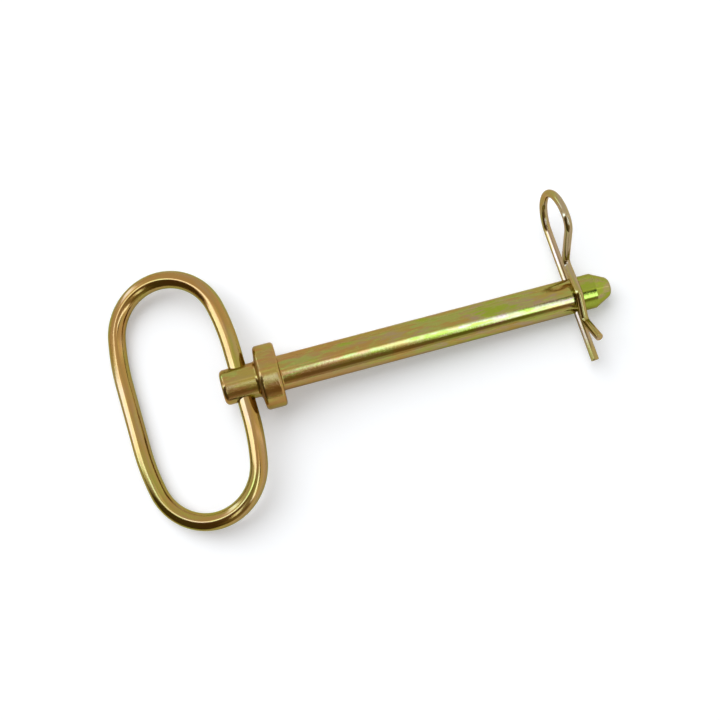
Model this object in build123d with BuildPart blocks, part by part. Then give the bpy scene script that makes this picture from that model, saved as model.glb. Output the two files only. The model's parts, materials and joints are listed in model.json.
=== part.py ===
from build123d import *
from math import asin, atan, cos, degrees, radians, sin, tan
import os

# Hitch pin with a swinging oval wire handle and a spring R-clip. It has three
# real pieces: the forged and turned pin, the bent wire handle whose ends sit in
# the pin's head, and the spring clip that locks the pin's nose.
#
# The origin is on the pin's axis at the collar's bearing face. +X runs along the
# pin to its nose, Y runs along the cross holes and +Z is up as the pin lies on a
# flat surface, on its collar, its nose and the handle's far leg.

# Pin: shaft, nose and collar, millimetres
shaft_diameter = 19.05
shaft_length = 174.6
nose_length = 9.6
nose_half_angle = 27.0
nose_end_radius = 3.6
collar_diameter = 34.92
collar_thickness = 12.1
collar_back_draft = 1.0
collar_edge_radius = 1.8
bearing_corner_radius = 0.8

# Pin: head behind the collar, with the cross hole for the handle
head_diameter = 19.05
head_length = 19.6
head_end_radius = 2.6
neck_radius = 1.5
handle_hole_offset = 9.0
hole_edge_break = 0.35

# Pin: cross hole for the clip, measured back from the shaft's end
clip_hole_inset = 11.6
clip_hole_diameter = 5.6
clip_hole_countersink = 0.7

# Handle: one length of wire bent to an oval, its two ends inside the head
handle_wire_diameter = 9.525
handle_leg_spacing = 63.3
handle_half_length = 66.6
handle_shoulder_radius = 120.0
handle_shoulder_turn = 12.0
handle_side_shift = 1.1
handle_end_gap = 2.0
handle_hole_clearance = 0.32
wire_end_chamfer = 0.6

# Clip: one length of spring wire, a straight leg, a loop and a waved leg
clip_wire_diameter = 4.3
clip_leg_stand_out = 27.5
clip_loop_radius = 16.9
clip_loop_shoulder_radius = 9.0
clip_loop_close_angle = 60.0
clip_throat_stand_off = 8.3
clip_throat_radius = 4.5
clip_rise_angle = 7.2
clip_fall_angle = 23.8
clip_crest_radius = 8.0
clip_dip_stand_off = 5.8
clip_dip_radius = 4.0
clip_tail_angle = 44.0
clip_tail_length = 17.2
clip_seat_gap = 0.15
clip_tilt = 4.6
clip_end_chamfer = 0.45

# What is left on each side of a wire that leans as far as its hole lets it
lean_side_gap = 0.1

# Sizes that follow from the ones above
shaft_radius = shaft_diameter / 2
head_radius = head_diameter / 2
collar_radius = collar_diameter / 2
handle_wire_radius = handle_wire_diameter / 2
clip_wire_radius = clip_wire_diameter / 2
collar_back = -collar_thickness
head_end = collar_back - head_length
nose_end = shaft_length + nose_length
clip_hole_position = shaft_length - clip_hole_inset
nose_end_face_radius = shaft_radius - nose_length * tan(radians(nose_half_angle))
handle_hole_x = collar_back - handle_hole_offset
handle_hole_radius = handle_wire_radius + handle_hole_clearance
handle_skew = degrees(atan(2 * (handle_hole_clearance - lean_side_gap) / head_diameter))
clip_lean = degrees(atan((clip_hole_diameter - clip_wire_diameter - 2 * lean_side_gap) / shaft_diameter))

# The surface the part lies on touches the collar's front edge and the nose edge
rest_slope = atan((collar_radius - shaft_radius) / (shaft_length + collar_edge_radius))
handle_drop = (
    collar_radius * cos(rest_slope)
    - (handle_hole_x + collar_edge_radius) * sin(rest_slope)
    - handle_wire_radius
)
handle_droop = degrees(asin(handle_drop / handle_leg_spacing) + rest_slope)


# Pin: the whole outline is one turned profile
with BuildPart() as pin:
    with BuildSketch(Plane.XY):
        with BuildLine():
            Polyline(
                (head_end, 0),
                (head_end, head_radius),
                (collar_back, head_radius),
                (collar_back + collar_back_draft, collar_radius),
                (0, collar_radius),
                (0, shaft_radius),
                (shaft_length, shaft_radius),
                (nose_end, nose_end_face_radius),
                (nose_end, 0),
                close=True,
            )
        make_face()
    revolve(axis=Axis.X)

    # Rounded edges of the head's free end, the forged collar and the nose
    rings = pin.edges().filter_by(GeomType.CIRCLE)
    fillet(rings.filter_by_position(Axis.X, head_end - 0.01, head_end + 0.01), head_end_radius)
    rings = pin.edges().filter_by(GeomType.CIRCLE)
    collar_rims = rings.filter_by(lambda ring: abs(ring.radius - collar_radius) < 0.01)
    fillet(collar_rims, collar_edge_radius)
    rings = pin.edges().filter_by(GeomType.CIRCLE)
    fillet(rings.filter_by_position(Axis.X, nose_end - 0.01, nose_end + 0.01), nose_end_radius)

    # Forged corners where the head and the shaft meet the collar
    rings = pin.edges().filter_by(GeomType.CIRCLE)
    neck = rings.filter_by_position(Axis.X, collar_back - 0.01, collar_back + 0.01)
    fillet(neck.sort_by(SortBy.RADIUS)[0], neck_radius)
    rings = pin.edges().filter_by(GeomType.CIRCLE)
    bearing_corner = rings.filter_by_position(Axis.X, -0.01, 0.01).sort_by(SortBy.RADIUS)[0]
    fillet(bearing_corner, bearing_corner_radius)

    # Cross hole for the handle, straight through the head
    with BuildSketch(Plane.XZ):
        with Locations((handle_hole_x, 0)):
            Circle(handle_hole_radius)
    extrude(amount=head_diameter, both=True, mode=Mode.SUBTRACT)
    head_hole_wall = pin.faces().filter_by(GeomType.CYLINDER)
    head_hole_wall = head_hole_wall.filter_by(lambda face: abs(face.radius - handle_hole_radius) < 0.01)
    chamfer(head_hole_wall.edges().filter_by(GeomType.BSPLINE), hole_edge_break)

    # Cross hole for the clip, countersunk on both sides
    for side in (-1, 1):
        mouth = Plane(
            origin=(clip_hole_position, side * shaft_radius, 0),
            x_dir=(1, 0, 0),
            z_dir=(0, side, 0),
        )
        with Locations(mouth):
            CounterSinkHole(
                radius=clip_hole_diameter / 2,
                counter_sink_radius=clip_hole_diameter / 2 + clip_hole_countersink,
                depth=shaft_radius,
                counter_sink_angle=90,
            )

pin.part.label = "pin"


# Handle: the oval lies in a plane through the head's cross hole
droop = radians(handle_droop)
hanging_plane = Plane(
    origin=(handle_hole_x, 0, 0),
    x_dir=(-cos(droop), 0, -sin(droop)),
    z_dir=(sin(droop), 0, -cos(droop)),
)
handle_plane = hanging_plane.rotated((0, 0, handle_skew))

# Each end of the oval is a round crown between two flatter shoulders, and the
# whole oval has slid a little to one side in its loose hole
turn = radians(handle_shoulder_turn)
crown_turn = 180 - 2 * handle_shoulder_turn
crown_radius = (handle_leg_spacing / 2 - handle_shoulder_radius * (1 - cos(turn))) / cos(turn)
arch_height = crown_radius + (handle_shoulder_radius - crown_radius) * sin(turn)
leg_top = handle_side_shift + handle_half_length - arch_height
leg_bottom = handle_side_shift - handle_half_length + arch_height
end_top = handle_side_shift + handle_end_gap / 2
end_bottom = handle_side_shift - handle_end_gap / 2

with BuildPart() as handle:
    with BuildLine(handle_plane) as handle_line:
        leg = Line((0, end_top), (0, leg_top))
        for run in (leg_top - leg_bottom, end_bottom - leg_bottom):
            shoulder = JernArc(leg @ 1, leg % 1, handle_shoulder_radius, -handle_shoulder_turn)
            crown = JernArc(shoulder @ 1, shoulder % 1, crown_radius, -crown_turn)
            shoulder = JernArc(crown @ 1, crown % 1, handle_shoulder_radius, -handle_shoulder_turn)
            leg = Line(shoulder @ 1, shoulder @ 1 + (shoulder % 1) * run)
    with BuildSketch(Plane(origin=handle_line.line @ 0, z_dir=handle_line.line % 0)):
        Circle(handle_wire_radius)
    sweep(path=handle_line.line)
    wire_ends = handle.faces().filter_by(GeomType.PLANE)
    chamfer(wire_ends.edges(), wire_end_chamfer)

handle.part.label = "handle"


# Clip: its plane holds the straight leg, which leans in its loose hole
lean = radians(clip_lean)
tilt = radians(clip_tilt)
clip_plane = Plane(
    origin=(clip_hole_position, 0, 0),
    x_dir=(-sin(lean), cos(lean), 0),
    z_dir=(cos(tilt) * cos(lean), cos(tilt) * sin(lean), -sin(tilt)),
)

# The waved leg touches a circle round the shaft with two straight runs
seat_radius = shaft_radius + clip_wire_radius + clip_seat_gap
rise = radians(clip_rise_angle)
fall = radians(clip_fall_angle)
throat_x = shaft_radius + clip_throat_stand_off
throat_y = (seat_radius - throat_x * sin(rise)) / cos(rise)
dip_x = -shaft_radius - clip_dip_stand_off
dip_y = (seat_radius + dip_x * sin(fall)) / cos(fall)
crest_distance = seat_radius / cos((rise + fall) / 2)
crest_lean = (fall - rise) / 2
tail = radians(clip_tail_angle)

# The loop's place follows from the straight run that closes it at the throat
close = radians(clip_loop_close_angle)
loop_x = (
    throat_x
    + clip_loop_shoulder_radius * sin(close)
    + (2 * clip_loop_radius - clip_loop_shoulder_radius * (1 - cos(close)) - throat_y) / tan(close)
)

with BuildPart() as r_clip:
    with BuildLine(clip_plane) as clip_line:
        straight_leg = Line((-shaft_radius - clip_leg_stand_out, 0), (loop_x, 0))
        loop = JernArc(straight_leg @ 1, straight_leg % 1, clip_loop_radius, 180)
        loop_shoulder = JernArc(loop @ 1, loop % 1, clip_loop_shoulder_radius, clip_loop_close_angle)
        FilletPolyline(
            loop_shoulder @ 1,
            (throat_x, throat_y),
            (-crest_distance * sin(crest_lean), crest_distance * cos(crest_lean)),
            (dip_x, dip_y),
            (dip_x - clip_tail_length * cos(tail), dip_y + clip_tail_length * sin(tail)),
            radius=[clip_throat_radius, clip_crest_radius, clip_dip_radius],
        )
    with BuildSketch(Plane(origin=clip_line.line @ 0, z_dir=clip_line.line % 0)):
        Circle(clip_wire_radius)
    sweep(path=clip_line.line)
    wire_ends = r_clip.faces().filter_by(GeomType.PLANE)
    chamfer(wire_ends.edges(), clip_end_chamfer)

r_clip.part.label = "r_clip"


os.makedirs("parts", exist_ok=True)
export_step(pin.part, "parts/pin.step")
export_step(handle.part, "parts/handle.step")
export_step(r_clip.part, "parts/r_clip.step")
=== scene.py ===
"""Looks of a hitch pin with a swinging oval wire handle and a spring R-clip, plated in yellow zinc.

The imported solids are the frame. The turned pin keeps its solid and gets its
finish here. The two bent wires are drawn again ring by ring, so that the finish
can follow each wire round its bends.
"""

import json
import logging
import math
from dataclasses import dataclass, field
from enum import Enum
from typing import Optional, Union

import bmesh
import bpy
from mathutils import Matrix, Vector


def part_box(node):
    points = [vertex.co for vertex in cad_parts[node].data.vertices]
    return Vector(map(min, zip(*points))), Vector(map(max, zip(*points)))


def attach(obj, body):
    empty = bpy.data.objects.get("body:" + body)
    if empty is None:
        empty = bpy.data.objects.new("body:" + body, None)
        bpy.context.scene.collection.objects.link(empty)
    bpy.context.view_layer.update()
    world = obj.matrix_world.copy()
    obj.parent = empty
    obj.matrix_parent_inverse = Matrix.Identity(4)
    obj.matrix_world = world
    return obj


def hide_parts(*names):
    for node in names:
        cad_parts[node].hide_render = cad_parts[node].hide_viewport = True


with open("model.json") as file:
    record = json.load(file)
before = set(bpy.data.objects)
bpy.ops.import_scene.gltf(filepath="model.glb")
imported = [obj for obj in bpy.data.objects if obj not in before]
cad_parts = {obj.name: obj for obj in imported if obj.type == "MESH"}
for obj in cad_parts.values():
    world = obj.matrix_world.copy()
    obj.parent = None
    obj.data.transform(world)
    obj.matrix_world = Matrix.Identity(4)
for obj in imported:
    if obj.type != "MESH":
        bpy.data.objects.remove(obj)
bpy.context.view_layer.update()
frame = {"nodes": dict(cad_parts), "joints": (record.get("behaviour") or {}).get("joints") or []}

log = logging.getLogger("hitch_pin")

MM = 0.001
WIRE_PLACE = "wire_place"

Socket = bpy.types.NodeSocket
Source = Union[bpy.types.NodeSocket, float, tuple]
Triple = tuple[float, float, float]
Colour = tuple[float, float, float, float]
Span = tuple[float, float]
Axes = tuple[Vector, Vector, Vector]


class Body(Enum):
    """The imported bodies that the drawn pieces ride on."""

    HANDLE = "handle"
    CLIP = "clip"


class Slot(Enum):
    """The record's material slots."""

    PIN = "plated_pin"
    WIRE = "plated_wire"
    SPRING = "plated_spring_wire"


class Marks(Enum):
    """Which way the fine marks run, each with how its pattern is scaled across and along the piece."""

    TURNED = (0.25, 0.25, 1.0)
    DRAWN = (1.0, 1.0, 0.04)


def rgb(red: float, green: float, blue: float) -> Colour:
    """Gives a colour as a shader socket takes it."""
    return (red, green, blue, 1.0)


@dataclass(frozen=True)
class Ripple:
    """How a noise varies: its waves in a millimetre, its finer layers and how strong they are."""

    scale: float
    detail: float
    roughness: float


class Graph:
    """Short ways to place and link shader nodes in one tree."""

    def __init__(self, tree: bpy.types.NodeTree) -> None:
        """Keeps the tree that the nodes go into."""
        self.tree = tree

    def add(self, kind: str, **settings: object) -> bpy.types.Node:
        """Places one node.

        Args:
            kind: type name of the node.
            settings: properties of the node to set.

        Returns:
            The new node.
        """
        node = self.tree.nodes.new(kind)
        for name, value in settings.items():
            setattr(node, name, value)
        return node

    def plug(self, socket: Socket, value: Source) -> None:
        """Links a socket to another, or sets its value.

        Args:
            socket: input socket.
            value: output socket or a plain value.
        """
        if isinstance(value, bpy.types.NodeSocket):
            self.tree.links.new(value, socket)
        else:
            socket.default_value = value

    def split(self, vector: Source) -> list[Socket]:
        """Takes a vector apart.

        Args:
            vector: the vector.

        Returns:
            Its three parts.
        """
        node = self.add("ShaderNodeSeparateXYZ")
        self.plug(node.inputs[0], vector)
        return list(node.outputs)

    def join(self, *parts: Source) -> Socket:
        """Puts a vector together.

        Args:
            parts: its three parts.

        Returns:
            The vector.
        """
        node = self.add("ShaderNodeCombineXYZ")
        for socket, part in zip(node.inputs, parts):
            self.plug(socket, part)
        return node.outputs[0]

    def math(self, operation: str, *values: Source, clamp: bool = False) -> Socket:
        """Works out one number from others.

        Args:
            operation: operation of the Math node.
            values: sockets or numbers.
            clamp: whether the answer is kept from 0 to 1.

        Returns:
            The answer.
        """
        node = self.add("ShaderNodeMath", operation=operation, use_clamp=clamp)
        for socket, value in zip(node.inputs, values):
            self.plug(socket, value)
        return node.outputs[0]

    def vector(self, operation: str, *values: Source) -> Socket:
        """Works out one vector, or a number from vectors.

        Args:
            operation: operation of the Vector Math node.
            values: sockets or vectors.

        Returns:
            The answer.
        """
        node = self.add("ShaderNodeVectorMath", operation=operation)
        for socket, value in zip(node.inputs, values):
            self.plug(socket, value)
        return node.outputs["Value" if operation == "DOT_PRODUCT" else "Vector"]

    def towards(self, value: Source, share: Source, goal: Source) -> Socket:
        """Brings a number a share of the way to a goal.

        Args:
            value: number to start from.
            share: 0 leaves the number and 1 gives the goal.
            goal: number to end at.

        Returns:
            The answer.
        """
        return self.math("ADD", value, self.math("MULTIPLY", share, self.math("SUBTRACT", goal, value)))

    def rise(self, value: Source, low: float, high: float) -> Socket:
        """Goes smoothly from 0 where the value is low to 1 where it is high.

        Args:
            value: number that is read.
            low: value that gives 0, which may be the greater of the two.
            high: value that gives 1.

        Returns:
            The answer.
        """
        climbs = low < high
        node = self.add("ShaderNodeMapRange", interpolation_type="SMOOTHSTEP", clamp=True)
        self.plug(node.inputs["From Min"], min(low, high))
        self.plug(node.inputs["From Max"], max(low, high))
        self.plug(node.inputs["To Min"], 0.0 if climbs else 1.0)
        self.plug(node.inputs["To Max"], 1.0 if climbs else 0.0)
        self.plug(node.inputs["Value"], value)
        return node.outputs["Result"]

    def noise(self, place: Source, ripple: Ripple) -> Socket:
        """Reads a noise at a place.

        Args:
            place: vector that the noise is read at.
            ripple: how the noise varies.

        Returns:
            The noise, from 0 to 1.
        """
        node = self.add("ShaderNodeTexNoise")
        self.plug(node.inputs["Vector"], place)
        self.plug(node.inputs["Scale"], ripple.scale)
        self.plug(node.inputs["Detail"], ripple.detail)
        self.plug(node.inputs["Roughness"], ripple.roughness)
        return node.outputs["Fac"]

    def blend(self, share: Source, first: Source, second: Source, kind: str = "MIX") -> Socket:
        """Mixes two colours.

        Args:
            share: how much of the second colour there is.
            first: first colour.
            second: second colour.
            kind: way of mixing.

        Returns:
            The mixed colour.
        """
        node = self.add("ShaderNodeMix", data_type="RGBA", blend_type=kind)
        self.plug(node.inputs["Factor"], share)
        colours = [socket for socket in node.inputs if socket.type == "RGBA"]
        for socket, value in zip(colours, (first, second)):
            self.plug(socket, value)
        return next(socket for socket in node.outputs if socket.type == "RGBA")


@dataclass(frozen=True)
class TintLayer:
    """One tint of the plating, which lies in ragged clouds over the tints before it."""

    name: str
    shift: Triple
    ripple: Ripple
    ragged: float
    ends: Span
    kept: float = 1.0
    lifted: bool = True


@dataclass(frozen=True)
class PlatingGroup:
    """The node group of yellow zinc plating, built once and used in each finish."""

    name: str = "yellow_zinc_plating"
    green: TintLayer = TintLayer("Green", (0.0, 0.0, 0.0), Ripple(0.14, 2.0, 0.55), 0.45, (0.46, 0.58))
    over: tuple[TintLayer, ...] = (
        TintLayer("Orange", (19.0, 43.0, 8.0), Ripple(0.17, 2.0, 0.55), -0.40, (0.45, 0.60), 0.45),
        TintLayer("Pink", (31.0, 17.0, 5.0), Ripple(0.15, 2.0, 0.55), -0.35, (0.46, 0.60), 0.35, False),
    )
    leaf_ends: Span = (0.60, 0.70)
    fine: Ripple = Ripple(0.85, 3.0, 0.6)
    fine_scale: Triple = (1.0, 1.0, 0.6)
    cloud: Ripple = Ripple(0.9, 4.0, 0.6)
    cloud_share: float = 0.5
    cloud_ends: Span = (0.3, 0.7)
    cloud_shades: Span = (0.82, 1.14)
    breath: Ripple = Ripple(0.35, 4.0, 0.65)
    breath_ends: Span = (0.35, 0.75)
    pits: Ripple = Ripple(1.8, 6.0, 0.7)

    def tree(self) -> bpy.types.NodeTree:
        """Gives the group's tree, built on first use."""
        return bpy.data.node_groups.get(self.name) or self._build()

    def _sockets(self, tree: bpy.types.NodeTree) -> None:
        """Gives the tree its inputs and outputs.

        Args:
            tree: the group's tree.
        """
        tree.interface.new_socket("Place", in_out="INPUT", socket_type="NodeSocketVector")
        for name in ("Gold", "Green", "Leaf", "Orange", "Pink"):
            tree.interface.new_socket(name, in_out="INPUT", socket_type="NodeSocketColor")
        for name in (
            "Stretch", "Green Share", "Green Lift", "Orange Share", "Orange Lift", "Pink Share", "Polish", "Haze",
        ):
            tree.interface.new_socket(name, in_out="INPUT", socket_type="NodeSocketFloat")
        tree.interface.new_socket("Color", in_out="OUTPUT", socket_type="NodeSocketColor")
        for name in ("Roughness", "Height"):
            tree.interface.new_socket(name, in_out="OUTPUT", socket_type="NodeSocketFloat")

    def _build(self) -> bpy.types.NodeTree:
        """Builds the tree from a place on the straightened piece, in millimetres with its length along Z.

        Returns:
            The new tree.
        """
        tree = bpy.data.node_groups.new(self.name, "ShaderNodeTree")
        self._sockets(tree)
        g = Graph(tree)
        taken = g.add("NodeGroupInput").outputs
        given = g.add("NodeGroupOutput").inputs
        x, y, z = g.split(taken["Place"])
        drawn = g.join(x, y, g.math("DIVIDE", z, taken["Stretch"]))
        fine = g.math("SUBTRACT", g.noise(g.vector("MULTIPLY", drawn, self.fine_scale), self.fine), 0.5)
        tinted = self._tints(g, taken, drawn, fine)
        g.plug(given["Color"], g.blend(1.0, tinted, self._shade(g, taken["Place"], fine), "MULTIPLY"))
        breath = g.rise(g.noise(taken["Place"], self.breath), *self.breath_ends)
        haze = g.math("MULTIPLY", breath, taken["Haze"])
        g.plug(given["Roughness"], g.math("ADD", haze, taken["Polish"]))
        g.plug(given["Height"], g.noise(taken["Place"], self.pits))
        return tree

    def _tints(
        self, g: Graph, taken: bpy.types.NodeOutputs, drawn: Socket, fine: Socket,
    ) -> Socket:
        """Lays the tints over the gold, each in its own drawn-out clouds.

        Args:
            g: graph of the group.
            taken: the group's inputs.
            drawn: place with its length squeezed.
            fine: fine noise that makes the clouds ragged.

        Returns:
            The tinted colour.
        """
        spread = self._spread(g, taken, self.green, drawn, fine)
        green = self._share(g, taken, self.green.name, spread, self.green.ends)
        colour = g.blend(green, taken["Gold"], taken["Green"])
        for layer in self.over:
            cloud = self._spread(g, taken, layer, drawn, fine)
            share = self._share(g, taken, layer.name, cloud, layer.ends)
            free = g.math("SUBTRACT", 1.0, g.math("MULTIPLY", green, 1.0 - layer.kept))
            colour = g.blend(g.math("MULTIPLY", share, free), colour, taken[layer.name])
        core = self._share(g, taken, self.green.name, spread, self.leaf_ends)
        return g.blend(core, colour, taken["Leaf"])

    def _spread(
        self, g: Graph, taken: bpy.types.NodeOutputs, layer: TintLayer, drawn: Socket, fine: Socket,
    ) -> Socket:
        """Works out how thick a tint's clouds are.

        Args:
            g: graph of the group.
            taken: the group's inputs.
            layer: the tint.
            drawn: place with its length squeezed.
            fine: fine noise that makes the clouds ragged.

        Returns:
            The thickness, about 0.5 on the average.
        """
        cloud = g.noise(g.vector("ADD", drawn, layer.shift), layer.ripple)
        cloud = g.math("ADD", cloud, g.math("MULTIPLY", fine, layer.ragged))
        return g.math("ADD", cloud, taken[f"{layer.name} Lift"]) if layer.lifted else cloud

    def _share(
        self, g: Graph, taken: bpy.types.NodeOutputs, name: str, spread: Socket, ends: Span,
    ) -> Socket:
        """Works out how much of a tint there is.

        Args:
            g: graph of the group.
            taken: the group's inputs.
            name: name of the tint.
            spread: how thick its clouds are.
            ends: thickness where the tint begins and where it is full.

        Returns:
            The share, from 0 to 1.
        """
        return g.math("MULTIPLY", g.rise(spread, *ends), taken[f"{name} Share"], clamp=True)

    def _shade(self, g: Graph, place: Socket, fine: Socket) -> Socket:
        """Makes the plating's uneven grey, which darkens or lightens every tint.

        Args:
            g: graph of the group.
            place: place on the straightened piece.
            fine: fine noise.

        Returns:
            The grey, as a colour.
        """
        cloud = g.math("MULTIPLY", g.noise(place, self.cloud), self.cloud_share)
        cloud = g.math("ADD", cloud, g.math("MULTIPLY", fine, 1.0 - self.cloud_share))
        shade = g.add("ShaderNodeMapRange")
        g.plug(shade.inputs["Value"], cloud)
        for name, number in zip(("From Min", "From Max"), self.cloud_ends):
            g.plug(shade.inputs[name], number)
        for name, number in zip(("To Min", "To Max"), self.cloud_shades):
            g.plug(shade.inputs[name], number)
        grey = g.add("ShaderNodeCombineColor")
        for socket in grey.inputs[:3]:
            g.plug(socket, shade.outputs["Result"])
        return grey.outputs[0]


@dataclass(frozen=True)
class Blush:
    """How the tints change along a piece: warm at one end and green at the other, in millimetres."""

    warm_ends: Span
    green_ends: Span
    green_lift: float
    green_gain: float
    green_loss: float
    orange_gain: float
    orange_lift: float
    pink_loss: float


@dataclass(frozen=True)
class Forging:
    """Where a piece keeps its forged skin, and its duller back face, in millimetres along it."""

    ends: Span
    haze: float
    pits: float
    face_start: Span
    face_end: Span
    face_haze: float


@dataclass(frozen=True)
class PlatedSteel:
    """Yellow zinc plating on turned or drawn steel."""

    name: str
    marks: Marks
    stretch: float = 3.5
    gold: Colour = rgb(0.46, 0.34, 0.08)
    green: Colour = rgb(0.41, 0.42, 0.10)
    leaf: Colour = rgb(0.35, 0.42, 0.04)
    orange: Colour = rgb(0.50, 0.27, 0.08)
    pink: Colour = rgb(0.45, 0.32, 0.18)
    edge_tint: Colour = rgb(0.85, 0.70, 0.50)
    green_share: float = 0.9
    orange_share: float = 0.5
    pink_share: float = 0.8
    blush: Optional[Blush] = None
    forging: Optional[Forging] = None
    polish: float = 0.06
    haze: float = 0.06
    mark_ripple: Ripple = Ripple(2.0, 3.0, 0.6)
    mark_depth: float = 0.025 * MM
    pit_depth: float = 0.010 * MM

    def place(self, g: Graph) -> Socket:
        """Reads the place on the straightened piece, in millimetres with its length along Z.

        Args:
            g: graph of the material.

        Returns:
            The place.
        """
        if self.marks is Marks.TURNED:
            x, y, z = g.split(g.add("ShaderNodeTexCoord").outputs["Object"])
            spot = g.join(y, z, x)
        else:
            spot = g.add("ShaderNodeAttribute", attribute_name=WIRE_PLACE).outputs["Vector"]
        return g.vector("MULTIPLY", spot, (1 / MM, 1 / MM, 1 / MM))

    def shares(self, g: Graph, place: Socket) -> dict[str, Source]:
        """Finds how much of each tint the plating has.

        Args:
            g: graph of the material.
            place: place on the straightened piece, in millimetres.

        Returns:
            The shares and lifts of the tints, by the name of the group's input.
        """
        shares = {
            "Green Share": self.green_share,
            "Orange Share": self.orange_share,
            "Pink Share": self.pink_share,
        }
        if self.blush:
            along = g.split(place)[2]
            warm = g.rise(along, *self.blush.warm_ends)
            gain = g.math("MULTIPLY", g.rise(along, *self.blush.green_ends), self.blush.green_gain)
            lift = g.math("SUBTRACT", gain, g.math("MULTIPLY", warm, self.blush.green_loss))
            orange = g.math("MULTIPLY", warm, self.blush.orange_gain)
            plain = g.math("SUBTRACT", 1.0, g.math("MULTIPLY", warm, self.blush.pink_loss))
            shares["Green Lift"] = g.math("ADD", lift, self.blush.green_lift)
            shares["Orange Share"] = g.math("ADD", self.orange_share, orange)
            shares["Orange Lift"] = g.math("MULTIPLY", warm, self.blush.orange_lift)
            shares["Pink Share"] = g.math("MULTIPLY", plain, self.pink_share)
        return shares

    def skin(self, g: Graph, place: Socket) -> tuple[Source, Source]:
        """Finds how rough the bare plating is and how deep its pits are.

        Args:
            g: graph of the material.
            place: place on the straightened piece, in millimetres.

        Returns:
            The roughness and the depth.
        """
        if not self.forging:
            return self.polish, self.pit_depth
        along = g.split(place)[2]
        forged = g.rise(along, *self.forging.ends)
        face = g.math(
            "MULTIPLY", g.rise(along, *self.forging.face_start), g.rise(along, *self.forging.face_end)
        )
        rough = g.math("ADD", self.polish, g.math("MULTIPLY", forged, self.forging.haze))
        rough = g.math("ADD", rough, g.math("MULTIPLY", face, self.forging.face_haze))
        deeper = g.math("MULTIPLY", forged, self.forging.pits * self.pit_depth)
        return rough, g.math("ADD", self.pit_depth, deeper)

    def material(self) -> bpy.types.Material:
        """Makes the material.

        Returns:
            The new material.
        """
        made = bpy.data.materials.new(self.name)
        made.use_nodes = True
        g = Graph(made.node_tree)
        shader = made.node_tree.nodes["Principled BSDF"]
        place = self.place(g)
        polish, pit_depth = self.skin(g, place)
        plating = g.add("ShaderNodeGroup", node_tree=PlatingGroup().tree())
        values = {
            "Place": place,
            "Stretch": self.stretch,
            "Gold": self.gold,
            "Green": self.green,
            "Leaf": self.leaf,
            "Orange": self.orange,
            "Pink": self.pink,
            "Polish": polish,
            "Haze": self.haze,
            **self.shares(g, place),
        }
        for name, value in values.items():
            g.plug(plating.inputs[name], value)
        g.plug(shader.inputs["Base Color"], plating.outputs["Color"])
        g.plug(shader.inputs["Metallic"], 1.0)
        g.plug(shader.inputs["Roughness"], plating.outputs["Roughness"])
        g.plug(shader.inputs["Specular Tint"], self.edge_tint)
        marks = g.noise(g.vector("MULTIPLY", place, self.marks.value), self.mark_ripple)
        lines = g.add("ShaderNodeBump")
        g.plug(lines.inputs["Height"], marks)
        g.plug(lines.inputs["Distance"], self.mark_depth)
        pits = g.add("ShaderNodeBump")
        g.plug(pits.inputs["Height"], plating.outputs["Height"])
        g.plug(pits.inputs["Distance"], pit_depth)
        g.plug(pits.inputs["Normal"], lines.outputs["Normal"])
        g.plug(shader.inputs["Normal"], pits.outputs["Normal"])
        return made


@dataclass(frozen=True)
class TurnedPin:
    """The forged and turned pin, with its head, collar, shaft and nose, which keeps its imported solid."""

    shaft_radius: float = 9.525 * MM
    shaft_length: float = 174.6 * MM
    collar_radius: float = 17.46 * MM
    collar_edge: float = 1.8 * MM
    collar_thickness: float = 12.1 * MM
    head_diameter: float = 19.05 * MM
    clip_hole_inset: float = 11.6 * MM
    clip_hole_diameter: float = 5.6 * MM
    back_face_depth: float = 0.8
    back_face_fades: Span = (0.1, 0.5)

    @property
    def clip_hole(self) -> Vector:
        """Centre of the clip's cross hole."""
        return Vector((self.shaft_length - self.clip_hole_inset, 0.0, 0.0))

    def finish(self) -> PlatedSteel:
        """Gives the plating of the turned shaft and the forged head and collar.

        Returns:
            The finish.
        """
        back = -self.collar_thickness / MM
        rim = back + self.back_face_depth
        blush = Blush(
            warm_ends=(100.0, 0.0), green_ends=(140.0, 176.0), green_lift=0.04, green_gain=0.14,
            green_loss=0.12, orange_gain=0.6, orange_lift=0.06, pink_loss=0.8,
        )
        forging = Forging(
            ends=(26.0, 2.0), haze=0.05, pits=3.0, face_start=(back, back + self.back_face_fades[0]),
            face_end=(rim + self.back_face_fades[1], rim), face_haze=0.35,
        )
        return PlatedSteel(
            "zinc_turned", Marks.TURNED, orange_share=0.35, pink_share=0.95, blush=blush, forging=forging,
        )

    def dress(self) -> bpy.types.Object:
        """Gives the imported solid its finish.

        Returns:
            The pin.
        """
        piece = frame["nodes"]["pin"]
        piece.data.materials.clear()
        piece.data.materials.append(self.finish().material())
        return piece


@dataclass(frozen=True)
class RestSurface:
    """The flat surface that the part lies on, on its collar, its nose and the handle's far leg."""

    pin: TurnedPin

    @property
    def slope(self) -> float:
        """Angle between the pin's axis and the surface."""
        drop = self.pin.collar_radius - self.pin.shaft_radius
        return math.atan(drop / (self.pin.shaft_length + self.pin.collar_edge))

    @property
    def normal(self) -> Vector:
        """Unit vector out of the surface."""
        return Vector((-math.sin(self.slope), 0.0, math.cos(self.slope)))

    @property
    def depth(self) -> float:
        """Distance from the frame's origin down to the surface."""
        nose = Vector((self.pin.shaft_length, 0.0, -self.pin.shaft_radius))
        return -nose.dot(self.normal)


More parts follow.
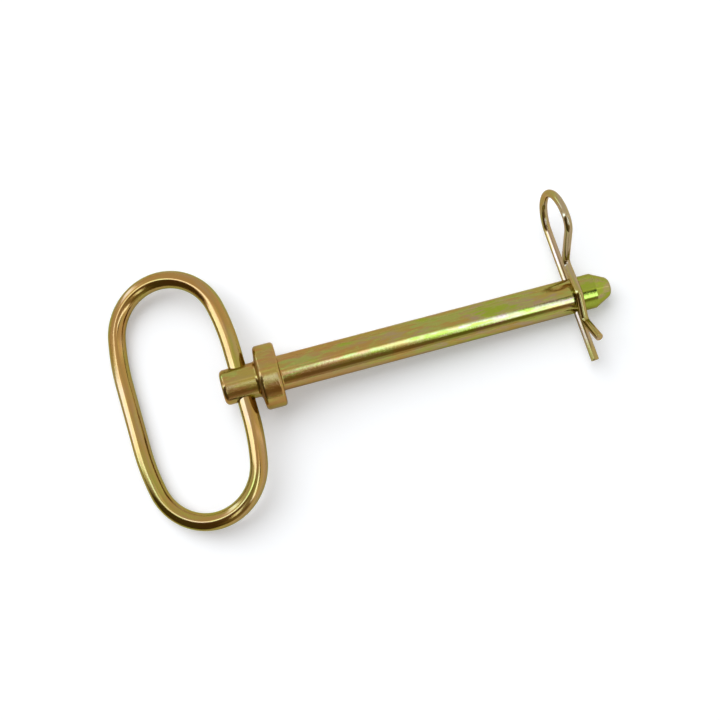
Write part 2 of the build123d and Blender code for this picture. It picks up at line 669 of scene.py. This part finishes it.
class BentWire:
    """A round wire drawn out ring by ring, with its straightened place kept on each vertex."""

    edge_segments = 3

    def __init__(self, start: Vector, heading: Vector, bend_axis: Vector, radius: float, sides: int) -> None:
        """Starts the wire with one ring.

        Args:
            start: centre of the first ring.
            heading: unit vector along the wire.
            bend_axis: unit vector that every bend turns about.
            radius: radius of the wire.
            sides: number of vertices in a ring.
        """
        self.bm = bmesh.new()
        self.place = self.bm.verts.layers.float_vector.new(WIRE_PLACE)
        self.centre = start.copy()
        self.heading = heading.normalized()
        self.axis = bend_axis.normalized()
        self.along = 0.0
        across = self.axis.cross(self.heading)
        turn = Matrix((across, self.axis, self.heading)).transposed().to_4x4()
        made = bmesh.ops.create_circle(
            self.bm, cap_ends=False, segments=sides, radius=radius, matrix=Matrix.Translation(start) @ turn
        )
        for vert in made["verts"]:
            spoke = vert.co - start
            vert[self.place] = Vector((spoke.dot(across), spoke.dot(self.axis), 0.0))
        self.ring = list(self.bm.edges)
        self.first_ring = list(self.ring)

    def _take(self, made: list, step: float) -> list[bmesh.types.BMVert]:
        """Makes new vertices the newest ring, at its distance along the wire.

        Args:
            made: what the operator made, with the ring's vertices in it.
            step: distance from the ring before it.

        Returns:
            The ring's vertices.
        """
        verts = [item for item in made if isinstance(item, bmesh.types.BMVert)]
        known = set(verts)
        self.ring = [e for e in {e for v in verts for e in v.link_edges} if set(e.verts) <= known]
        self.along += step
        for vert in verts:
            vert[self.place] = Vector((vert[self.place].x, vert[self.place].y, self.along))
        return verts

    def run(self, length: float, step: float) -> "BentWire":
        """Draws a straight run.

        Args:
            length: length of the run.
            step: greatest distance between rings.

        Returns:
            The wire itself.
        """
        count = max(1, math.ceil(length / step))
        for _ in range(count):
            made = bmesh.ops.extrude_edge_only(self.bm, edges=self.ring)["geom"]
            verts = self._take(made, length / count)
            bmesh.ops.translate(self.bm, verts=verts, vec=self.heading * (length / count))
        self.centre += self.heading * length
        return self

    def bend(self, radius: float, angle: float, step: float) -> "BentWire":
        """Draws a bend in the wire's plane.

        Args:
            radius: radius of the wire's centre line.
            angle: turn about the bend axis, positive by the right hand.
            step: greatest distance between rings.

        Returns:
            The wire itself.
        """
        pivot = self.centre + self.axis.cross(self.heading) * math.copysign(radius, angle)
        length = radius * abs(angle)
        count = max(2, math.ceil(length / step))
        for _ in range(count):
            made = bmesh.ops.spin(
                self.bm, geom=self.ring, cent=pivot, axis=self.axis, dvec=(0.0, 0.0, 0.0),
                angle=angle / count, steps=1, use_merge=False, use_duplicate=False,
            )["geom_last"]
            self._take(made, length / count)
        turn = Matrix.Rotation(angle, 3, self.axis)
        self.centre = pivot + turn @ (self.centre - pivot)
        self.heading = turn @ self.heading
        return self

    def close(self, edge_break: float) -> "BentWire":
        """Closes both ends with flat cut faces whose edges are broken.

        Args:
            edge_break: width of the broken edge.

        Returns:
            The wire itself.
        """
        for ring in (self.first_ring, self.ring):
            made = bmesh.ops.edgeloop_fill(self.bm, edges=ring)
            rim = list({edge for face in made["faces"] for edge in face.edges})
            bmesh.ops.bevel(
                self.bm, geom=rim, offset=edge_break, offset_type="OFFSET", segments=self.edge_segments,
                profile=0.5, affect="EDGES", material=-1, clamp_overlap=True,
            )
        bmesh.ops.recalc_face_normals(self.bm, faces=self.bm.faces)
        return self

    def to_object(self, name: str) -> bpy.types.Object:
        """Turns the wire into a shown object.

        Args:
            name: name of the piece.

        Returns:
            The new object, at the origin.
        """
        mesh = bpy.data.meshes.new(name)
        self.bm.to_mesh(mesh)
        self.bm.free()
        mesh.shade_smooth()
        piece = bpy.data.objects.new(name, mesh)
        bpy.context.scene.collection.objects.link(piece)
        return piece


@dataclass
class Handle:
    """The oval wire handle, one length of wire whose two ends sit in the pin's head."""

    pivot: Vector
    pin: TurnedPin
    surface: RestSurface
    wire_diameter: float = 9.525 * MM
    leg_spacing: float = 63.3 * MM
    half_length: float = 66.6 * MM
    shoulder_radius: float = 120.0 * MM
    shoulder_turn: float = math.radians(12.0)
    side_shift: float = 1.1 * MM
    end_gap: float = 2.0 * MM
    hole_clearance: float = 0.32 * MM
    lean_side_gap: float = 0.1 * MM
    end_break: float = 0.6 * MM
    sides: int = 56
    step: float = 1.3 * MM

    def plane(self) -> Matrix:
        """Works out the oval's plane.

        Returns:
            Matrix whose columns are the way to the far leg, the way along the legs and the normal.
        """
        slope = self.surface.slope
        drop = (
            self.pin.collar_radius * math.cos(slope)
            - (self.pivot.x + self.pin.collar_edge) * math.sin(slope)
            - self.wire_diameter / 2
        )
        droop = math.asin(drop / self.leg_spacing) + slope
        skew = math.atan(2 * (self.hole_clearance - self.lean_side_gap) / self.pin.head_diameter)
        out = Vector((-math.cos(droop), 0.0, -math.sin(droop)))
        normal = Vector((math.sin(droop), 0.0, -math.cos(droop)))
        turn = Matrix.Rotation(skew, 3, "Z")
        return turn @ Matrix((out, normal.cross(out), normal)).transposed()

    def finish(self) -> PlatedSteel:
        """Gives the plating of the drawn wire.

        Returns:
            The finish.
        """
        return PlatedSteel(
            "zinc_drawn", Marks.DRAWN, stretch=6.0, gold=rgb(0.47, 0.285, 0.07),
            edge_tint=rgb(0.72, 0.88, 0.42), green_share=0.3, orange_share=0.8, pink_share=0.35,
            polish=0.085, mark_depth=0.006 * MM, pit_depth=0.018 * MM,
        )

    def build(self) -> bpy.types.Object:
        """Draws the wire from one end round both crowns to the other end, and dresses it.

        Returns:
            The handle.
        """
        shoulder_in = self.shoulder_radius * (1 - math.cos(self.shoulder_turn))
        crown_radius = (self.leg_spacing / 2 - shoulder_in) / math.cos(self.shoulder_turn)
        crown_turn = math.pi - 2 * self.shoulder_turn
        arch = crown_radius + (self.shoulder_radius - crown_radius) * math.sin(self.shoulder_turn)
        leg_top = self.side_shift + self.half_length - arch
        leg_bottom = self.side_shift - self.half_length + arch
        end_top = self.side_shift + self.end_gap / 2
        end_bottom = self.side_shift - self.end_gap / 2
        plane = self.plane()
        along, normal = plane.col[1], plane.col[2]
        wire = BentWire(self.pivot + along * end_top, along, normal, self.wire_diameter / 2, self.sides)
        wire.run(leg_top - end_top, self.step)
        for straight in (leg_top - leg_bottom, end_bottom - leg_bottom):
            wire.bend(self.shoulder_radius, -self.shoulder_turn, self.step)
            wire.bend(crown_radius, -crown_turn, self.step)
            wire.bend(self.shoulder_radius, -self.shoulder_turn, self.step)
            wire.run(straight, self.step)
        wire.close(self.end_break)
        piece = wire.to_object("handle_wire")
        self.dress(piece)
        return piece

    def dress(self, piece: bpy.types.Object) -> None:
        """Gives the wire its finish and its body, in the place of its solid.

        Args:
            piece: the drawn wire.
        """
        piece.data.materials.append(self.finish().material())
        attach(piece, Body.HANDLE.value)
        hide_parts("handle")


@dataclass
class SpringClip:
    """The spring R-clip, a straight leg through the pin, a loop and a waved leg over it."""

    pin: TurnedPin
    wire_diameter: float = 4.3 * MM
    leg_stand_out: float = 27.5 * MM
    loop_radius: float = 16.9 * MM
    shoulder_radius: float = 9.0 * MM
    close_angle: float = math.radians(60.0)
    throat_stand_off: float = 8.3 * MM
    throat_radius: float = 4.5 * MM
    rise_angle: float = math.radians(7.2)
    fall_angle: float = math.radians(23.8)
    crest_radius: float = 8.0 * MM
    dip_stand_off: float = 5.8 * MM
    dip_radius: float = 4.0 * MM
    tail_angle: float = math.radians(44.0)
    tail_length: float = 17.2 * MM
    seat_gap: float = 0.15 * MM
    tilt: float = math.radians(4.6)
    lean_side_gap: float = 0.1 * MM
    end_break: float = 0.45 * MM
    sides: int = 40
    step: float = 0.7 * MM

    def plane(self) -> Matrix:
        """Works out the clip's plane.

        Returns:
            Matrix whose columns are the way along the straight leg, the way to the waved leg and the normal.
        """
        room = self.pin.clip_hole_diameter - self.wire_diameter - 2 * self.lean_side_gap
        lean = math.atan(room / (2 * self.pin.shaft_radius))
        along = Vector((-math.sin(lean), math.cos(lean), 0.0))
        normal = Vector((
            math.cos(self.tilt) * math.cos(lean),
            math.cos(self.tilt) * math.sin(lean),
            -math.sin(self.tilt),
        ))
        return Matrix((along, normal.cross(along), normal)).transposed()

    def waved_leg(self) -> list[tuple[Vector, float]]:
        """Works out the corners of the waved leg in the clip's plane.

        Returns:
            Pairs of a corner and its bend radius, the last with no radius.
        """
        shaft = self.pin.shaft_radius
        rise, fall, tail = self.rise_angle, self.fall_angle, self.tail_angle
        seat = shaft + self.wire_diameter / 2 + self.seat_gap
        throat_x = shaft + self.throat_stand_off
        throat = Vector((throat_x, (seat - throat_x * math.sin(rise)) / math.cos(rise)))
        far = seat / math.cos((rise + fall) / 2)
        lean = (fall - rise) / 2
        crest = Vector((-far * math.sin(lean), far * math.cos(lean)))
        dip_x = -shaft - self.dip_stand_off
        dip = Vector((dip_x, (seat + dip_x * math.sin(fall)) / math.cos(fall)))
        end = dip + Vector((-math.cos(tail), math.sin(tail))) * self.tail_length
        return [(throat, self.throat_radius), (crest, self.crest_radius), (dip, self.dip_radius), (end, 0.0)]

    def finish(self) -> PlatedSteel:
        """Gives the plating of the spring wire.

        Returns:
            The finish.
        """
        return PlatedSteel(
            "zinc_spring", Marks.DRAWN, stretch=5.0, gold=rgb(0.46, 0.34, 0.11),
            pink=rgb(0.50, 0.38, 0.26), green_share=0.35, orange_share=0.7, pink_share=0.7,
            mark_depth=0.005 * MM, pit_depth=0.014 * MM,
        )

    def build(self) -> bpy.types.Object:
        """Draws the wire from the straight leg's end to the waved leg's tail, and dresses it.

        Returns:
            The clip.
        """
        corners = self.waved_leg()
        throat = corners[0][0]
        close = self.close_angle
        width = 2 * self.loop_radius - self.shoulder_radius * (1 - math.cos(close))
        loop_x = throat.x + self.shoulder_radius * math.sin(close) + (width - throat.y) / math.tan(close)
        leg_start = -self.pin.shaft_radius - self.leg_stand_out
        plane = self.plane()
        along, across, normal = plane.col
        hole = self.pin.clip_hole
        wire = BentWire(hole + along * leg_start, along, normal, self.wire_diameter / 2, self.sides)
        wire.run(loop_x - leg_start, self.step)
        wire.bend(self.loop_radius, math.pi, self.step)
        wire.bend(self.shoulder_radius, close, self.step)
        out = wire.centre - hole
        self._wave(wire, Vector((out.dot(along), out.dot(across))), corners)
        wire.close(self.end_break)
        piece = wire.to_object("clip_wire")
        self.dress(piece)
        return piece

    def dress(self, piece: bpy.types.Object) -> None:
        """Gives the wire its finish and its body, in the place of its solid.

        Args:
            piece: the drawn wire.
        """
        piece.data.materials.append(self.finish().material())
        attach(piece, Body.CLIP.value)
        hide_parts("r_clip")

    def _wave(self, wire: BentWire, here: Vector, corners: list[tuple[Vector, float]]) -> None:
        """Draws the waved leg from corner to corner.

        Args:
            wire: wire that is drawn on.
            here: the wire's end in the clip's plane.
            corners: pairs of a corner and its bend radius.
        """
        used = 0.0
        for (corner, radius), (after, _) in zip(corners, corners[1:]):
            turn = -(corner - here).angle_signed(after - corner)
            cut = radius * math.tan(abs(turn) / 2)
            wire.run((corner - here).length - used - cut, self.step)
            wire.bend(radius, turn, self.step / 2)
            used = cut
            here = corner
        wire.run((corners[-1][0] - here).length - used, self.step)


@dataclass(frozen=True)
class Camera:
    """The camera at the photograph's viewing angle."""

    centre: Triple = (-0.008517, -0.097012, 0.658552)
    aim: Triple = (0.07707, 0.13930, -0.98725)
    right: Triple = (0.96375, -0.26409, 0.03797)
    lens: float = 62.5
    sensor: float = 36.0
    clip: Span = (0.01, 20.0)

    def axes(self) -> Axes:
        """Works out how the camera is turned.

        Returns:
            The camera's right, up and back.
        """
        back = -Vector(self.aim).normalized()
        right = Vector(self.right)
        right = (right - back * right.dot(back)).normalized()
        return right, back.cross(right), back

    def build(self) -> None:
        """Places the camera and makes it the scene's own."""
        data = bpy.data.cameras.new("camera")
        data.lens = self.lens
        data.sensor_width = self.sensor
        data.clip_start, data.clip_end = self.clip
        eye = bpy.data.objects.new("camera", data)
        turn = Matrix(self.axes()).transposed().to_4x4()
        eye.matrix_world = Matrix.Translation(self.centre) @ turn
        bpy.context.scene.collection.objects.link(eye)
        bpy.context.scene.camera = eye


def direction(polar: float, azimuth: float) -> Vector:
    """Gives a way in the room, in degrees from overhead and in degrees round from the picture's right."""
    p, a = math.radians(polar), math.radians(azimuth)
    return Vector((math.sin(p) * math.cos(a), math.sin(p) * math.sin(a), math.cos(p)))


def edge_plane(first: Span, last: Span) -> tuple:
    """Gives the unit normal of the plane through two ways in the room."""
    return tuple(direction(*first).cross(direction(*last)).normalized())


@dataclass(frozen=True)
class Strip:
    """A strip of the room that is lighter or darker than the rest, from one way to another in degrees."""

    start: Span
    end: Span
    half_width: float
    soft: float
    level: float

    def share(self, g: Graph, way: Socket) -> Socket:
        """Finds how much of the view the strip fills.

        Args:
            g: graph of the room's light.
            way: way that is looked along.

        Returns:
            The share, from 0 to 1.
        """
        first, last = direction(*self.start), direction(*self.end)
        middle = tuple((first + last).normalized())
        reach = first.angle(last) / 2
        half_width, soft = math.radians(self.half_width), math.radians(self.soft)
        off = g.math("ABSOLUTE", g.vector("DOT_PRODUCT", way, edge_plane(self.start, self.end)))
        wide = g.rise(off, math.sin(half_width + soft), math.sin(half_width))
        near = g.vector("DOT_PRODUCT", way, middle)
        long = g.rise(near, math.cos(reach + 2 * soft), math.cos(reach))
        return g.math("MULTIPLY", wide, long)


@dataclass(frozen=True)
class Room:
    """The light all round: a pale room with strip lamps, soft shades and one dark corner."""

    axes: Axes
    level: float = 0.89
    right_gain: float = 0.15
    right_ends: Span = (0.2, 0.95)
    dark_level: float = 0.116
    dark_left: tuple[Span, Span] = ((92.0, 195.9), (30.5, 190.4))
    dark_left_fade: float = -0.07
    dark_right: tuple[Span, Span] = ((90.0, 308.1), (-10.4, 271.8))
    dark_right_fade: float = 0.747
    strips: tuple[Strip, ...] = (
        Strip((31.0, 182.0), (91.0, 190.0), 2.2, 3.5, 2.2),
        Strip((31.0, 176.0), (50.0, 158.0), 1.0, 3.5, 0.5),
        Strip((55.0, 156.0), (88.0, 144.0), 2.5, 4.0, 1.7),
        Strip((31.0, 176.0), (14.0, 105.0), 0.8, 4.0, 0.5),
        Strip((21.3, 22.7), (88.1, 13.7), 0.1, 2.6, 0.6),
        Strip((20.0, 318.2), (41.5, 309.5), 0.8, 9.6, 4.2),
        Strip((20.4, 322.5), (48.3, 305.7), 1.4, 1.5, 1.1),
        Strip((24.6, 321.1), (38.4, 309.9), 2.3, 10.5, -2.2),
    )
    shades: tuple[Strip, ...] = (
        Strip((8.0, 290.0), (48.0, 285.0), 2.0, 1.3, 0.36),
        Strip((57.2, 271.7), (63.8, 297.6), 8.8, 8.17, 0.28),
    )
    corner_strips: tuple[Strip, ...] = (
        Strip((30.0, 252.0), (46.0, 271.0), 2.5, 3.0, 1.8),
    )
    pale_tone: Colour = rgb(1.0, 1.0, 1.0)
    dark_tone: Colour = rgb(1.0, 0.74, 0.35)
    dark_tone_ends: Span = (0.75, 0.15)
    lamp_tone: Colour = rgb(0.9, 1.22, 2.2)
    lamp_tone_ends: Span = (1.2, 2.8)
    matt_share: float = 0.40

    def world(self) -> bpy.types.World:
        """Makes the room's light, with a plain white background for the camera.

        Returns:
            The new world.
        """
        world = bpy.data.worlds.new("studio")
        world.use_nodes = True
        g = Graph(world.node_tree)
        background = world.node_tree.nodes["Background"]
        path = g.add("ShaderNodeLightPath").outputs
        level = self._level(g)
        tone = g.blend(g.rise(level, *self.dark_tone_ends), self.pale_tone, self.dark_tone)
        bright = g.math("MULTIPLY", g.rise(level, *self.lamp_tone_ends), path["Is Glossy Ray"])
        tone = g.blend(bright, tone, self.lamp_tone)
        matt = g.math("MULTIPLY", path["Is Diffuse Ray"], 1.0 - self.matt_share)
        level = g.math("MULTIPLY", level, g.math("SUBTRACT", 1.0, matt))
        level = g.towards(level, path["Is Camera Ray"], 1.0)
        g.plug(background.inputs["Strength"], level)
        g.plug(background.inputs["Color"], g.blend(path["Is Camera Ray"], tone, self.pale_tone))
        return world

    def _level(self, g: Graph) -> Socket:
        """Works out how bright the room is the way that a ray goes.

        Args:
            g: graph of the room's light.

        Returns:
            The level.
        """
        ray = g.add("ShaderNodeTexCoord").outputs["Generated"]
        way = g.join(*(g.vector("DOT_PRODUCT", ray, tuple(axis)) for axis in self.axes))
        right = g.rise(g.split(way)[0], *self.right_ends)
        level = g.math("ADD", self.level, g.math("MULTIPLY", right, self.right_gain))
        level = self._light_strips(g, way, level, self.strips)
        left_side = g.vector("DOT_PRODUCT", way, edge_plane(*self.dark_left))
        right_side = g.vector("DOT_PRODUCT", way, edge_plane(*self.dark_right))
        under = g.rise(left_side, 0.0, self.dark_left_fade)
        beside = g.rise(right_side, 0.0, self.dark_right_fade)
        level = g.towards(level, g.math("MULTIPLY", under, beside), self.dark_level)
        for shade in self.shades:
            level = g.towards(level, shade.share(g, way), shade.level)
        return self._light_strips(g, way, level, self.corner_strips)

    def _light_strips(self, g: Graph, way: Socket, level: Socket, strips: tuple[Strip, ...]) -> Socket:
        """Adds strips to the room's level.

        Args:
            g: graph of the room's light.
            way: way that is looked along.
            level: level without the strips.
            strips: the strips.

        Returns:
            The level with the strips.
        """
        for strip in strips:
            level = g.math("ADD", level, g.math("MULTIPLY", strip.share(g, way), strip.level))
        return level


@dataclass(frozen=True)
class Floor:
    """The pale floor, with a painted dark patch that only reflections see: painted shade in the metal's
    reflections.
    """

    surface: RestSurface
    axes: Axes
    half_width: float = 1.6
    gap: float = 0.03 * MM
    white: Colour = rgb(0.78, 0.80, 0.83)
    roughness: float = 0.95
    glow: Colour = rgb(1.0, 1.0, 1.0)
    camera_glow: float = 0.27
    glossy_glow: float = 0.12
    # Painted shade: the dark colour that the floor shows to reflections only, in one patch.
    painted_shade: Colour = rgb(0.10, 0.08, 0.05)
    painted_shade_way: float = 238.0
    painted_shade_ends: Span = (0.105, 0.125)
    painted_shade_side: Span = (-0.03, -0.05)

    def build(self) -> None:
        """Lays the floor under the part."""
        bm = bmesh.new()
        bmesh.ops.create_grid(bm, x_segments=1, y_segments=1, size=self.half_width)
        turn = Matrix.Rotation(-self.surface.slope, 4, "Y")
        low = Matrix.Translation(self.surface.normal * -(self.surface.depth + self.gap))
        bmesh.ops.transform(bm, matrix=low @ turn, verts=bm.verts)
        mesh = bpy.data.meshes.new("floor")
        bm.to_mesh(mesh)
        bm.free()
        mesh.materials.append(self._paint())
        plate = bpy.data.objects.new("floor", mesh)
        bpy.context.scene.collection.objects.link(plate)

    def _painted_shade(self, g: Graph) -> Socket:
        """Works out where the painted dark patch lies, the painted shade that reflections see on the floor.

        Args:
            g: graph of the floor's paint.

        Returns:
            The painted patch's share, from 0 to 1.
        """
        right, up = self.axes[:2]
        away = direction(90.0, self.painted_shade_way)
        spot = g.add("ShaderNodeTexCoord").outputs["Object"]
        far = g.vector("DOT_PRODUCT", spot, tuple(right * away.x + up * away.y))
        side = g.vector("DOT_PRODUCT", spot, tuple(right))
        return g.math("MULTIPLY", g.rise(far, *self.painted_shade_ends), g.rise(side, *self.painted_shade_side))

    def _paint(self) -> bpy.types.Material:
        """Makes the floor's white, which keeps the part's shadow.

        Returns:
            The new material.
        """
        paint = bpy.data.materials.new("floor_white")
        paint.use_nodes = True
        g = Graph(paint.node_tree)
        shader = paint.node_tree.nodes["Principled BSDF"]
        path = g.add("ShaderNodeLightPath").outputs
        # Painted shade: a dark patch in the floor's colour that only glossy rays see, which darkens the metal's
        # reflections there.
        painted_shade = g.math("MULTIPLY", self._painted_shade(g), path["Is Glossy Ray"])
        g.plug(shader.inputs["Base Color"], g.blend(painted_shade, self.white, self.painted_shade))
        g.plug(shader.inputs["Roughness"], self.roughness)
        g.plug(shader.inputs["Specular IOR Level"], 0.0)
        g.plug(shader.inputs["Emission Color"], self.glow)
        shown = g.math("MULTIPLY", path["Is Camera Ray"], self.camera_glow)
        shine = g.math("MULTIPLY", path["Is Glossy Ray"], self.glossy_glow)
        shine = g.math("MULTIPLY", shine, g.math("SUBTRACT", 1.0, painted_shade))
        g.plug(shader.inputs["Emission Strength"], g.math("ADD", shown, shine))
        return paint


@dataclass(frozen=True)
class KeyLamp:
    """The broad soft lamp that lights the floor and throws the part's shadow."""

    axes: Axes
    strength: float = 2.4
    spread: float = math.radians(58.0)
    way: Span = (36.0, 138.0)

    def build(self) -> None:
        """Hangs the lamp."""
        lamp = bpy.data.lights.new("key", "SUN")
        lamp.energy = self.strength
        lamp.angle = self.spread
        hung = bpy.data.objects.new("key", lamp)
        away = direction(*self.way)
        back = sum((axis * part for axis, part in zip(self.axes, away)), Vector())
        hung.rotation_mode = "QUATERNION"
        hung.rotation_quaternion = back.normalized().to_track_quat("Z", "Y")
        hung.visible_glossy = False
        bpy.context.scene.collection.objects.link(hung)


@dataclass(frozen=True)
class Studio:
    """The camera, the pale floor and the light."""

    surface: RestSurface
    camera: Camera = field(default_factory=Camera)

    def axes(self) -> Axes:
        """Works out how the room is turned.

        Returns:
            The picture's right and up on the floor, and the way up from the floor.
        """
        up = self.surface.normal
        right = self.camera.axes()[0]
        right = (right - up * right.dot(up)).normalized()
        return right, up.cross(right), up

    def build(self) -> None:
        """Sets up the studio round the part."""
        axes = self.axes()
        self.camera.build()
        Floor(self.surface, axes).build()
        KeyLamp(axes).build()
        bpy.context.scene.world = Room(axes).world()


def report(piece: bpy.types.Object, node: str) -> None:
    """Logs how many faces a piece has and how far its box is from its solid's.

    Args:
        piece: the shown piece.
        node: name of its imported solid.
    """
    corners = [Vector(corner) for corner in piece.bound_box]
    off = 0.0
    for end, limit in zip((min, max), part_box(node)):
        for axis in range(3):
            off = max(off, abs(end(corner[axis] for corner in corners) - limit[axis]))
    log.info("%s: %d faces, box within %.3f mm of the solid", piece.name, len(piece.data.polygons), off / MM)


def main() -> None:
    """Builds the pieces in order and dresses them."""
    logging.basicConfig(level=logging.INFO, format="%(name)s: %(message)s")
    bpy.context.scene.view_settings.view_transform = "Standard"
    pin = TurnedPin()
    surface = RestSurface(pin)
    Studio(surface).build()
    joints = {joint["name"]: joint for joint in frame["joints"]}
    pivot = Vector(joints["handle_swing"]["pos_m"])
    report(pin.dress(), "pin")
    report(Handle(pivot, pin, surface).build(), "handle")
    report(SpringClip(pin).build(), "r_clip")


if __name__ == "__main__":
    main()
